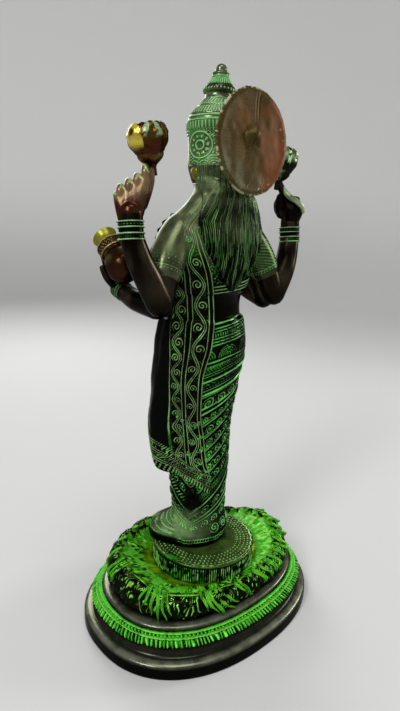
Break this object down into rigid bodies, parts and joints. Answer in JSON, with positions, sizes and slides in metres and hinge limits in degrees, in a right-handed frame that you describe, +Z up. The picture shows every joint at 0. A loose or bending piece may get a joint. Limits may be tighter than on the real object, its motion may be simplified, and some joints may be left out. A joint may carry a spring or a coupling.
{
  "type": "four-armed deity statue",
  "caption": "Standing four-armed figure cast in brass, with lotus buds in the raised hands, a round halo plate behind the head, on a lotus and an oval stepped plinth.",
  "frame": {"origin": "centre of the plinth's flat underside", "axes": "+Z up through the figure; the figure faces -Y and its left side is +X"},
  "size_m": [0.181, 0.1408, 0.38],
  "materials": {
    "figure_brass": "dark antique finish with green patina in the chased lines, polished on the raised lines",
    "halo_copper": "reddish brown, rough on the back",
    "plinth_brass": "dark antique finish, bright green patina in the petals and the fringe band"
  },
  "bodies": {
    "root": {"figure": "figure_brass", "halo": "halo_copper", "plinth": "plinth_brass"}
  },
  "joints": []
}
